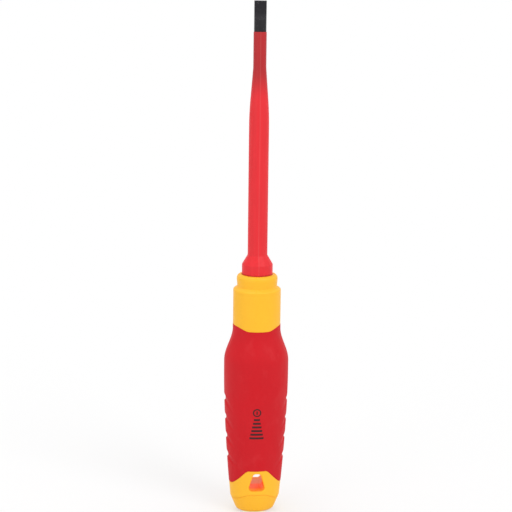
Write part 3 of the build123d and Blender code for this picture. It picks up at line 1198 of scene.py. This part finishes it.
@dataclass(frozen=True)
class HangHole:
    """The rounded trapezoid through the handle's end."""

    bottom: float = 12.5
    top: float = 21.2
    half_bottom: float = 4.1
    half_top: float = 1.6
    bottom_round: float = 1.6
    top_round: float = 1.5
    centre: float = 16.2

    def loop(self, angles: np.ndarray, outward: float = 0.0) -> np.ndarray:
        """Points of the outline, or of one set outward from it, at angles about its centre.

        Args:
            angles: angles from +X towards +Z.
            outward: how far outside the hole's own outline they lie.

        Returns:
            Rows of (across, height).
        """
        outline = rounded_path([
            (self.half_bottom, self.bottom, self.bottom_round),
            (self.half_top, self.top, self.top_round),
            (-self.half_top, self.top, self.top_round),
            (-self.half_bottom, self.bottom, self.bottom_round),
        ], closed=True, steps=16)
        outline = spaced(np.vstack([outline, outline[:1]]), 0.15)[:-1]
        along = np.roll(outline, -1, axis=0) - np.roll(outline, 1, axis=0)
        normal = np.column_stack([along[:, 1], -along[:, 0]])
        normal = normal / np.linalg.norm(normal, axis=1, keepdims=True)
        wide = outline + normal * outward - np.array([0, self.centre])
        bearing = np.arctan2(wide[:, 1], wide[:, 0])
        order = np.argsort(bearing)
        reach = np.interp(angles, bearing[order], np.linalg.norm(wide, axis=1)[order], period=2 * math.pi)
        return np.column_stack([reach * np.cos(angles), self.centre + reach * np.sin(angles)])


@dataclass(frozen=True)
class RoundedEnd:
    """How the handle's end draws in below the seam to its rounded foot."""

    form: HandleForm
    edges: HandleEdges
    side_slope: float = 0.4
    front_slope: float = 0.33
    foot_round: float = 3.4

    def slope(self, turn: np.ndarray) -> np.ndarray:
        """Growth of the radius with height at each turn."""
        return self.side_slope * np.sin(turn) ** 2 + self.front_slope * np.cos(turn) ** 2

    def foot(self) -> tuple[float, float]:
        """Half width and half thickness of the drawn-in end, carried down to the floor."""
        side = self.form.half_size(self.edges.seam_side)[0] - self.form.grip_proud
        front = self.form.half_size(self.edges.seam_crown)[1] - self.form.grip_proud
        return (
            float(side) - self.side_slope * self.edges.seam_side,
            float(front) - self.front_slope * self.edges.seam_crown,
        )

    def wall(self, turn: np.ndarray, height: np.ndarray, inset: float | np.ndarray = 0.0) -> np.ndarray:
        """Points of the drawn-in wall."""
        half_width, half_thickness = self.foot()
        growth = self.slope(turn) * height - inset
        across = (half_width + growth) * np.sin(turn)
        through = -(half_thickness + growth) * np.cos(turn)
        return np.stack(np.broadcast_arrays(across, through, height), axis=-1)

    def trimmed(self, turn: np.ndarray, height: np.ndarray) -> np.ndarray:
        """Points of the yellow surface, on the form or on the drawn-in wall, whichever is inside."""
        plain = self.form.point(turn, height, self.form.grip_proud)
        wall = self.wall(turn, height)
        plain_reach = np.hypot(plain[..., 0], plain[..., 1])
        wall_reach = np.hypot(wall[..., 0], wall[..., 1])
        share = np.minimum(1, wall_reach / plain_reach)[..., None]
        return plain * np.concatenate([share, share, np.ones_like(share)], axis=-1)

    def foot_rows(self, turn: np.ndarray, steps: int = 12) -> tuple[np.ndarray, np.ndarray]:
        """The rounding between the wall and the flat foot.

        Args:
            turn: turns of the columns.
            steps: spans in the rounding.

        Returns:
            The rows of points from the foot up, and the height at which the wall starts.
        """
        slope, radius = self.slope(turn), self.foot_round
        lean = np.arctan(slope)
        half_width, half_thickness = self.foot()
        rows = []
        for share in np.linspace(0, 1, steps + 1).tolist():
            angle = -QUARTER + (QUARTER - lean) * share
            inset = radius * np.sqrt(1 + slope**2) - slope * radius - radius * np.cos(angle)
            across = (half_width - inset) * np.sin(turn)
            through = -(half_thickness - inset) * np.cos(turn)
            rows.append(np.stack([across, through, radius * (1 + np.sin(angle))], axis=-1))
        return np.stack(rows), radius * (1 - np.sin(lean))


@dataclass
class RearShell:
    """The yellow moulding round the hang hole, between the seam and the grip."""

    form: HandleForm
    edges: HandleEdges
    end: RoundedEnd
    hole: HangHole
    finish: MouldedPlastic
    block_turn: float = math.radians(36)
    edge_radius: float = 0.2
    seam_radius: float = 0.3
    mouth_round: float = 0.9
    lip_depth: float = 3.8
    lip_wall: float = 1.2
    skirt_top: float = high("rear_shell").z
    block_columns: int = 26
    block_rows: int = 26
    side_columns: int = 44
    rings: int = 10

    def surface(self, across: np.ndarray, height: np.ndarray, inset: float = 0.0) -> np.ndarray:
        """Front face of the shell at places across X, set in from the yellow surface."""
        plain = self.form.front(across, height, self.form.grip_proud + inset)
        half_width = self.form.half_size(height)[0] - self.form.grip_proud
        turn = np.arcsin(np.clip(across / half_width, -1, 1))
        trimmed = self.end.trimmed(turn, height)
        whole = self.form.point(turn, height, self.form.grip_proud)
        share = np.abs(trimmed[..., 1]) / np.maximum(np.abs(whole[..., 1]), 1e-6)
        plain[..., 1] *= share
        return plain

    def outer_loop(self, low_edge: np.ndarray, high_edge: np.ndarray, turns: np.ndarray) -> np.ndarray:
        """The right half of the block's border, from the bottom middle round to the top middle.

        Args:
            low_edge: height of the shell's lower edge at each turn.
            high_edge: height of its upper edge at each turn.
            turns: turns of the block's columns, from the middle out.

        Returns:
            Rows of (across, height).
        """
        widths = [self.form.half_size(edge)[0] - self.form.grip_proud for edge in (low_edge, high_edge)]
        bottom = np.column_stack([widths[0] * np.sin(turns), low_edge])
        top = np.column_stack([widths[1] * np.sin(turns), high_edge])
        shares = np.linspace(0, 1, self.block_rows + 1)
        heights = low_edge[-1] + (high_edge[-1] - low_edge[-1]) * shares
        width = self.form.half_size(heights)[0] - self.form.grip_proud
        side = np.column_stack([width * math.sin(turns[-1]), heights])
        return np.concatenate([bottom[:-1], side, top[::-1][1:]])

    def build(self) -> bpy.types.Object:
        """Makes the shell from the sheets of one quarter, mirrored to the other three.

        Returns:
            The piece.
        """
        form = self.form
        quarters = [(side, half.value) for side in (1, -1) for half in Half]
        block = np.linspace(0, self.block_turn, self.block_columns + 1)
        flank = np.linspace(self.block_turn, QUARTER, self.side_columns + 1)
        every = np.concatenate([block, flank[1:]])
        seam, edge = self.edges.seam.on(form, every), self.edges.shell.on(form, every)
        bottom, top = seam + self.seam_radius, edge - self.edge_radius
        inside = self.block_columns + 1
        skin = Skin("rear_shell_yellow")

        shares = np.linspace(0, 1, self.block_rows + 1)[:, None]
        heights = bottom[inside - 1:] + (top - bottom)[inside - 1:] * shares
        skin.mirrored_sheet(self.end.trimmed(flank, heights), quarters)
        core_heights = seam[inside - 1:] + (edge - seam)[inside - 1:] * shares
        skin.mirrored_sheet(form.point(flank, core_heights, form.cover), quarters)

        border = self.outer_loop(bottom[:inside], top[:inside], block)
        angles = np.arctan2(border[:, 1] - self.hole.centre, border[:, 0])
        rows = []
        for step in range(9):
            angle = QUARTER * step / 8
            loop = self.hole.loop(angles, self.mouth_round * (1 - math.sin(angle)))
            row = self.surface(loop[:, 0], loop[:, 1])
            row[:, 1] += self.mouth_round * (1 - math.cos(angle))
            rows.append(row)
        loop = self.hole.loop(angles)
        mouth_end = rows[-1]
        lip_end = form.front(loop[:, 0], loop[:, 1], self.lip_depth)
        for share in np.linspace(0, 1, 5).tolist()[1:]:
            rows.append(mouth_end + (lip_end - mouth_end) * share)
        skin.mirrored_sheet(np.stack(rows), quarters)

        near = self.hole.loop(angles, self.mouth_round)
        spread = []
        for share in np.linspace(0, 1, self.rings + 1).tolist():
            spot = near + (border - near) * share
            spread.append(self.surface(spot[:, 0], spot[:, 1]))
        skin.mirrored_sheet(np.stack(spread), quarters)

        core_border = self.core_border(seam[:inside], edge[:inside], block)
        wall = self.hole.loop(angles, self.lip_wall)
        back = [form.front(loop[:, 0], loop[:, 1], self.lip_depth)]
        back.append(form.front(wall[:, 0], wall[:, 1], self.lip_depth))
        for share in np.linspace(0, 1, 6).tolist():
            spot = wall + (core_border - wall) * share
            back.append(form.front(spot[:, 0], spot[:, 1], form.cover))
        back[-1] = self.core_rim(seam[:inside], edge[:inside], block)
        skin.mirrored_sheet(np.stack(back), quarters)

        skin.mirrored_sheet(self.strip(every, seam, edge, bottom, top, True), quarters)
        skin.mirrored_sheet(self.strip(every, seam, edge, bottom, top, False), quarters)
        return skin.make()

    def core_rim(self, seam: np.ndarray, edge: np.ndarray, turns: np.ndarray) -> np.ndarray:
        """The block's border on the face that lies on the core, as points."""
        shares = np.linspace(0, 1, self.block_rows + 1)
        heights = seam[-1] + (edge[-1] - seam[-1]) * shares
        bottom = self.form.point(turns, seam, self.form.cover)
        side = self.form.point(np.full_like(heights, turns[-1]), heights, self.form.cover)
        top = self.form.point(turns, edge, self.form.cover)
        return np.concatenate([bottom[:-1], side, top[::-1][1:]])

    def core_border(self, seam: np.ndarray, edge: np.ndarray, turns: np.ndarray) -> np.ndarray:
        """The same border as rows of (across, height)."""
        return self.core_rim(seam, edge, turns)[:, [0, 2]]

    def strip(
        self,
        turns: np.ndarray,
        seam: np.ndarray,
        edge: np.ndarray,
        bottom: np.ndarray,
        top: np.ndarray,
        upper: bool,
    ) -> np.ndarray:
        """The edge face between the outer surface and the face on the core.

        Args:
            turns: turns of every column of a quarter.
            seam: height of the seam at each turn.
            edge: height of the shell's upper edge at each turn.
            bottom: height at which the outer surface ends below.
            top: height at which it ends above.
            upper: whether this is the upper edge, which has the skirt, or the seam.

        Returns:
            The strip's grid of points.
        """
        form = self.form
        radius = self.edge_radius if upper else self.seam_radius
        level, start, sign = (edge, top, -1) if upper else (seam, bottom, 1)
        outer = self.end.trimmed(turns, start)
        rows = [outer]
        for inset, rise in reversed(edge_round(radius)[:-1]):
            row = outer.copy()
            row[..., :2] *= (1 - inset / np.hypot(outer[..., 0], outer[..., 1]))[..., None]
            row[..., 2] = level + sign * rise
            rows.append(row)
        if upper:
            for height in (edge, edge + (self.skirt_top - edge) / 2, self.skirt_top + 0 * edge):
                rows.append(form.point(turns, height, form.skirt_depth))
            for height in (self.skirt_top + 0 * edge, edge + (self.skirt_top - edge) / 2):
                rows.append(form.point(turns, height, form.cover))
        rows.append(form.point(turns, level, form.cover))
        return np.stack(rows)

    def dress(self, piece: bpy.types.Object) -> None:
        """Finishes the shell and sets it on the tool."""
        dress(piece, self.finish)
        seat(piece, "rear_shell")


@dataclass
class EndCap:
    """The rounded yellow end below the seam, with the boss that locks it to the core."""

    form: HandleForm
    edges: HandleEdges
    end: RoundedEnd
    finish: MouldedPlastic
    seam_radius: float = 0.3
    pocket_floor: float = low("inner_core").z
    boss_radius: float = 3.5
    boss_length: float = 3.5
    columns: int = 240
    wall_rows: int = 14
    foot_rings: int = 6

    def build(self) -> bpy.types.Object:
        """Makes the end cap.

        Returns:
            The piece.
        """
        turns = np.arange(self.columns) * 2 * math.pi / self.columns
        seam = self.edges.seam.on(self.form, turns)
        foot, wall_start = self.end.foot_rows(turns)
        flat = [foot[0] * np.array([share, share, 1]) for share in np.linspace(0, 1, self.foot_rings + 1)[:-1]]
        top = seam - self.seam_radius
        wall = []
        for share in np.linspace(0, 1, self.wall_rows + 1).tolist()[1:]:
            wall.append(self.end.trimmed(turns, wall_start + (top - wall_start) * share))
        rows = [*flat, *foot, *wall]
        outer = wall[-1]
        for inset, rise in reversed(edge_round(self.seam_radius)[:-1]):
            row = outer.copy()
            row[..., :2] *= (1 - inset / np.hypot(outer[..., 0], outer[..., 1]))[..., None]
            row[..., 2] = seam - rise
            rows.append(row)
        cover = self.form.cover
        rows.append(self.form.point(turns, seam, cover))
        rows.append(self.form.point(turns, self.pocket_floor + 0 * turns, cover))
        boss_top = self.pocket_floor + self.boss_length
        boss = np.array([
            (self.boss_radius, self.pocket_floor),
            (self.boss_radius, boss_top - 0.4),
            (self.boss_radius - 0.4, boss_top),
            (0.0, boss_top),
        ])
        rows.extend(turned(boss, turns))
        skin = Skin("end_cap_yellow")
        skin.sheet(np.stack(rows), wrap_columns=True)
        return skin.make()

    def dress(self, piece: bpy.types.Object) -> None:
        """Finishes the cap and sets it on the tool."""
        dress(piece, self.finish)
        seat(piece, "end_cap")


@dataclass
class GripMarks:
    """A pad print on the grip's front: a slotted screw's head over a plain scale of bars."""

    form: HandleForm
    finish: MouldedPlastic
    centre: float = -0.7
    bottom: float = 39.6
    length: float = 15.0
    line: float = 0.6
    ring_radius: float = 1.7
    bar_count: int = 6
    bar_pitch: float = 1.85
    bar_height: float = 1.0
    bar_width: float = 6.6
    bar_shrink: float = 0.75
    proud: float = 0.03
    sunk: float = 0.06

    def stroke(self, skin: Skin, line: np.ndarray, width: float, closed: bool = False) -> None:
        """Lays a flat ribbon of ink along a line on the grip.

        Args:
            skin: the skin that it is added to.
            line: rows of (across, height).
            width: the ribbon's width.
            closed: whether its ends join.
        """
        if closed:
            ahead, behind = np.roll(line, -1, axis=0), np.roll(line, 1, axis=0)
            along = ahead - behind
        else:
            along = np.gradient(line, axis=0)
        along = along / np.linalg.norm(along, axis=1, keepdims=True)
        normal = np.column_stack([along[:, 1], -along[:, 0]])
        count = max(2, math.ceil(width / 0.4) + 1)
        offsets = np.linspace(-width / 2, width / 2, count)
        top, base = [], []
        for offset in offsets.tolist():
            spot = line + normal * offset
            top.append(self.form.front(spot[:, 0], spot[:, 1], -self.proud))
            base.append(self.form.front(spot[:, 0], spot[:, 1], self.sunk))
        loop = np.stack([*top, *reversed(base)])
        skin.sheet(loop, wrap_rows=True, wrap_columns=closed)
        if not closed:
            for end in (0, -1):
                skin.sheet(np.stack([np.stack(top)[:, end], np.stack(base)[:, end]]))

    def bar(self, skin: Skin, across: float, start: float, end: float, width: float) -> None:
        """A straight bar of ink along the tool."""
        heights = np.arange(0, 1.0001, 1 / max(1, math.ceil((end - start) / 0.8)))
        line = np.column_stack([np.full(len(heights), across), start + (end - start) * heights])
        self.stroke(skin, line, width)

    def ring(self, skin: Skin, height: float, radius: float) -> None:
        """A ring of ink round a short slot, as the head of a slotted screw."""
        angles = np.arange(28) * 2 * math.pi / 28
        line = np.column_stack([self.centre + radius * np.cos(angles), height + radius * np.sin(angles)])
        self.stroke(skin, line, self.line, closed=True)
        self.bar(skin, self.centre, height - radius * 0.5, height + radius * 0.5, self.line)

    def build(self) -> bpy.types.Object:
        """Makes the print.

        Returns:
            The piece.
        """
        skin = Skin("grip_print")
        self.ring(skin, self.bottom + self.length - self.ring_radius, self.ring_radius)
        for step in range(self.bar_count):
            start = self.bottom + self.bar_pitch * step
            width = self.bar_width - self.bar_shrink * step
            self.bar(skin, self.centre, start, start + self.bar_height, width)
        return skin.make()

    def dress(self, piece: bpy.types.Object) -> None:
        """Inks the print and sets it on the grip."""
        dress(piece, self.finish)
        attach(piece, "root")


@dataclass
class CoreMoulding:
    """The hard red core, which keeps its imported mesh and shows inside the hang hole."""

    finish: MouldedPlastic

    def dress(self) -> None:
        """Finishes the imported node."""
        dress(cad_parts["inner_core"], self.finish)
        log.info("inner_core: packed mesh kept")


@dataclass(frozen=True)
class Lamp:
    """A far soft lamp.

    Attributes:
        name: its name.
        bearing: the direction it stands in, from the tool.
        spread: how wide it looks, in radians.
        strength: its irradiance on a surface that faces it.
    """

    name: str
    bearing: tuple[float, float, float]
    spread: float
    strength: float

    def on_floor(self) -> float:
        """How bright a white floor is under it."""
        return self.strength * Vector(self.bearing).normalized().z / math.pi

    def hang(self) -> None:
        """Adds the lamp to the scene."""
        data = bpy.data.lights.new(self.name, "SUN")
        data.angle = self.spread
        data.energy = self.strength
        light = bpy.data.objects.new(self.name, data)
        light.rotation_euler = (-Vector(self.bearing)).to_track_quat("-Z", "Y").to_euler()
        bpy.context.scene.collection.objects.link(light)


@dataclass
class Studio:
    """White floor, white surroundings, soft lamps and the camera.

    The tool stands turned a little about its own axis as the camera sees it.
    """

    distance: float = 584.0
    height: float = 246.5
    aside: float = -0.68
    azimuth: float = math.radians(6.0)
    pitch: float = math.radians(11.764)
    roll: float = math.radians(0.689)
    lens: float = 90.17
    ambient: float = 0.71
    floor_size: float = 80.0
    floor_shade: float = 0.4
    lamps: tuple["Lamp", ...] = (
        Lamp("key", (0.55, -0.65, 0.63), 0.5, 0.82),
        Lamp("top", (-0.1, 0.1, 1.0), 0.8, 0.9),
        Lamp("fill", (-0.7, -0.6, 0.2), 0.7, 0.46),
    )

    def seen(self, sheet: NodeSheet) -> Socket:
        """Mask that is 1 where a ray shows the surroundings as they are, straight or in a reflection."""
        rays = [sheet.node("ShaderNodeLightPath", output=name) for name in
                ("Is Camera Ray", "Is Glossy Ray", "Is Transmission Ray")]
        return rays[0] | rays[1] | rays[2]

    def surroundings(self) -> None:
        """A white world that lights the tool evenly."""
        world = bpy.data.worlds.new("studio_white")
        bpy.context.scene.world = world
        world.use_nodes = True
        sheet = NodeSheet(world.node_tree)
        strength = self.seen(sheet) * (1 - self.ambient) + self.ambient
        shader = sheet.node("ShaderNodeBackground", None, {"Color": (1, 1, 1, 1), "Strength": strength})
        sheet.node("ShaderNodeOutputWorld", None, {"Surface": shader})

    def floor(self) -> bpy.types.Object:
        """A pale floor that keeps the tool's shadow.

        Returns:
            The floor.
        """
        half = self.floor_size / 2
        mesh = bpy.data.meshes.new("floor")
        corners = [(-half, -half, 0), (half, -half, 0), (half, half, 0), (-half, half, 0)]
        mesh.from_pydata(corners, [], [(0, 1, 2, 3)])
        piece = bpy.data.objects.new("floor", mesh)
        bpy.context.scene.collection.objects.link(piece)
        made = bpy.data.materials.new("floor_white")
        made.use_nodes = True
        sheet = NodeSheet(made.node_tree)
        seen = self.seen(sheet)
        shade = self.floor_shade
        colour = sheet.mix(seen, (0.8, 0.8, 0.8, 1), (shade, shade, shade, 1))
        matt = sheet.node("ShaderNodeBsdfDiffuse", None, {"Color": colour})
        lit = self.ambient + sum(lamp.on_floor() for lamp in self.lamps)
        glow = sheet.node("ShaderNodeEmission", None, {"Strength": seen * (1.0 - lit * shade)})
        shader = sheet.node("ShaderNodeAddShader", None, {0: matt, 1: glow})
        sheet.node("ShaderNodeOutputMaterial", None, {"Surface": shader})
        mesh.materials.append(made)
        return piece

    def camera(self) -> None:
        """Places the camera in front, a little above, looking down at the tool."""
        data = bpy.data.cameras.new("camera")
        data.lens = self.lens
        data.sensor_width = 36.0
        data.clip_start = 0.02
        data.clip_end = 200.0
        camera = bpy.data.objects.new("camera", data)
        right = Vector((math.cos(self.azimuth), -math.sin(self.azimuth), 0))
        ahead = Vector((math.sin(self.azimuth), math.cos(self.azimuth), 0))
        forward = ahead * math.cos(self.pitch) - Vector((0, 0, math.sin(self.pitch)))
        up = right.cross(forward)
        level_right = right * math.cos(self.roll) + up * math.sin(self.roll)
        level_up = up * math.cos(self.roll) - right * math.sin(self.roll)
        turn = Matrix((level_right, level_up, -forward)).transposed().to_4x4()
        spot = right * self.aside - ahead * self.distance + Vector((0, 0, self.height))
        place = Matrix.Translation(spot * MM)
        camera.matrix_world = place @ turn
        bpy.context.scene.collection.objects.link(camera)
        bpy.context.scene.camera = camera

    def build(self) -> None:
        """Sets the whole stage."""
        bpy.context.scene.view_settings.view_transform = "Standard"
        self.camera()
        self.surroundings()
        self.floor()
        for lamp in self.lamps:
            lamp.hang()
        log.info("studio set")


@dataclass(frozen=True)
class Finishes:
    """Every finish on the tool."""

    steel: MouldedPlastic = BlackedSteel(
        "black_steel_finish", srgb(25, 23, 28), 0.15, 0.42, 0.012, 0.27,
        tip_height=high("blade").z, half_width=2.675)
    sleeve: MouldedPlastic = SleevePlastic(
        "sleeve_red_finish", srgb(229, 40, 48), 0.05, 0.45, 0.01, 0.3,
        thin_colour=srgb(184, 36, 41), thick_height=high("blade_insulation").z - 31,
        thin_height=high("blade_insulation").z - 17)
    # The core's orange stands in for its red plus painted light bounced from the hole's yellow walls.
    core: MouldedPlastic = CorePlastic(
        "core_red_finish", srgb(250, 118, 50), roughness=0.4, specular=0.3, painted_glow=0.2)
    collar: MouldedPlastic = MouldedPlastic("collar_yellow_finish", srgb(252, 187, 38))
    # The rear's yellow is a little brighter than the collar's: painted light that makes up for the dimmer light
    # low on the handle.
    rear: MouldedPlastic = RearPlastic("rear_yellow_finish", srgb(255, 190, 42), painted_glow=0.18)
    grip: MouldedPlastic = SoftRubber("grip_red_finish", srgb(203, 18, 30), 0.035, 0.55, 0.03, 0.22)
    ink: MouldedPlastic = MouldedPlastic("print_ink_finish", srgb(66, 26, 30), 0.1, 0.5, 0.004, 0.25)


def main() -> None:
    """Builds every piece in order and sets the stage."""
    logging.basicConfig(level=logging.INFO, format="%(name)s: %(message)s")
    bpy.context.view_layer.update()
    form = HandleForm()
    edges = HandleEdges(form)
    end = RoundedEnd(form, edges)
    finishes = Finishes()
    Studio().build()
    CoreMoulding(finishes.core).dress()
    for part in (
        SteelBlade(finishes.steel),
        InsulatingSleeve(finishes.sleeve),
        NeckCollar(form, edges, finishes.collar),
        SoftGrip(form, edges, finishes.grip),
        RearShell(form, edges, end, HangHole(), finishes.rear),
        EndCap(form, edges, end, finishes.rear),
        GripMarks(form, finishes.ink),
    ):
        part.dress(part.build())


if __name__ == "__main__":
    main()
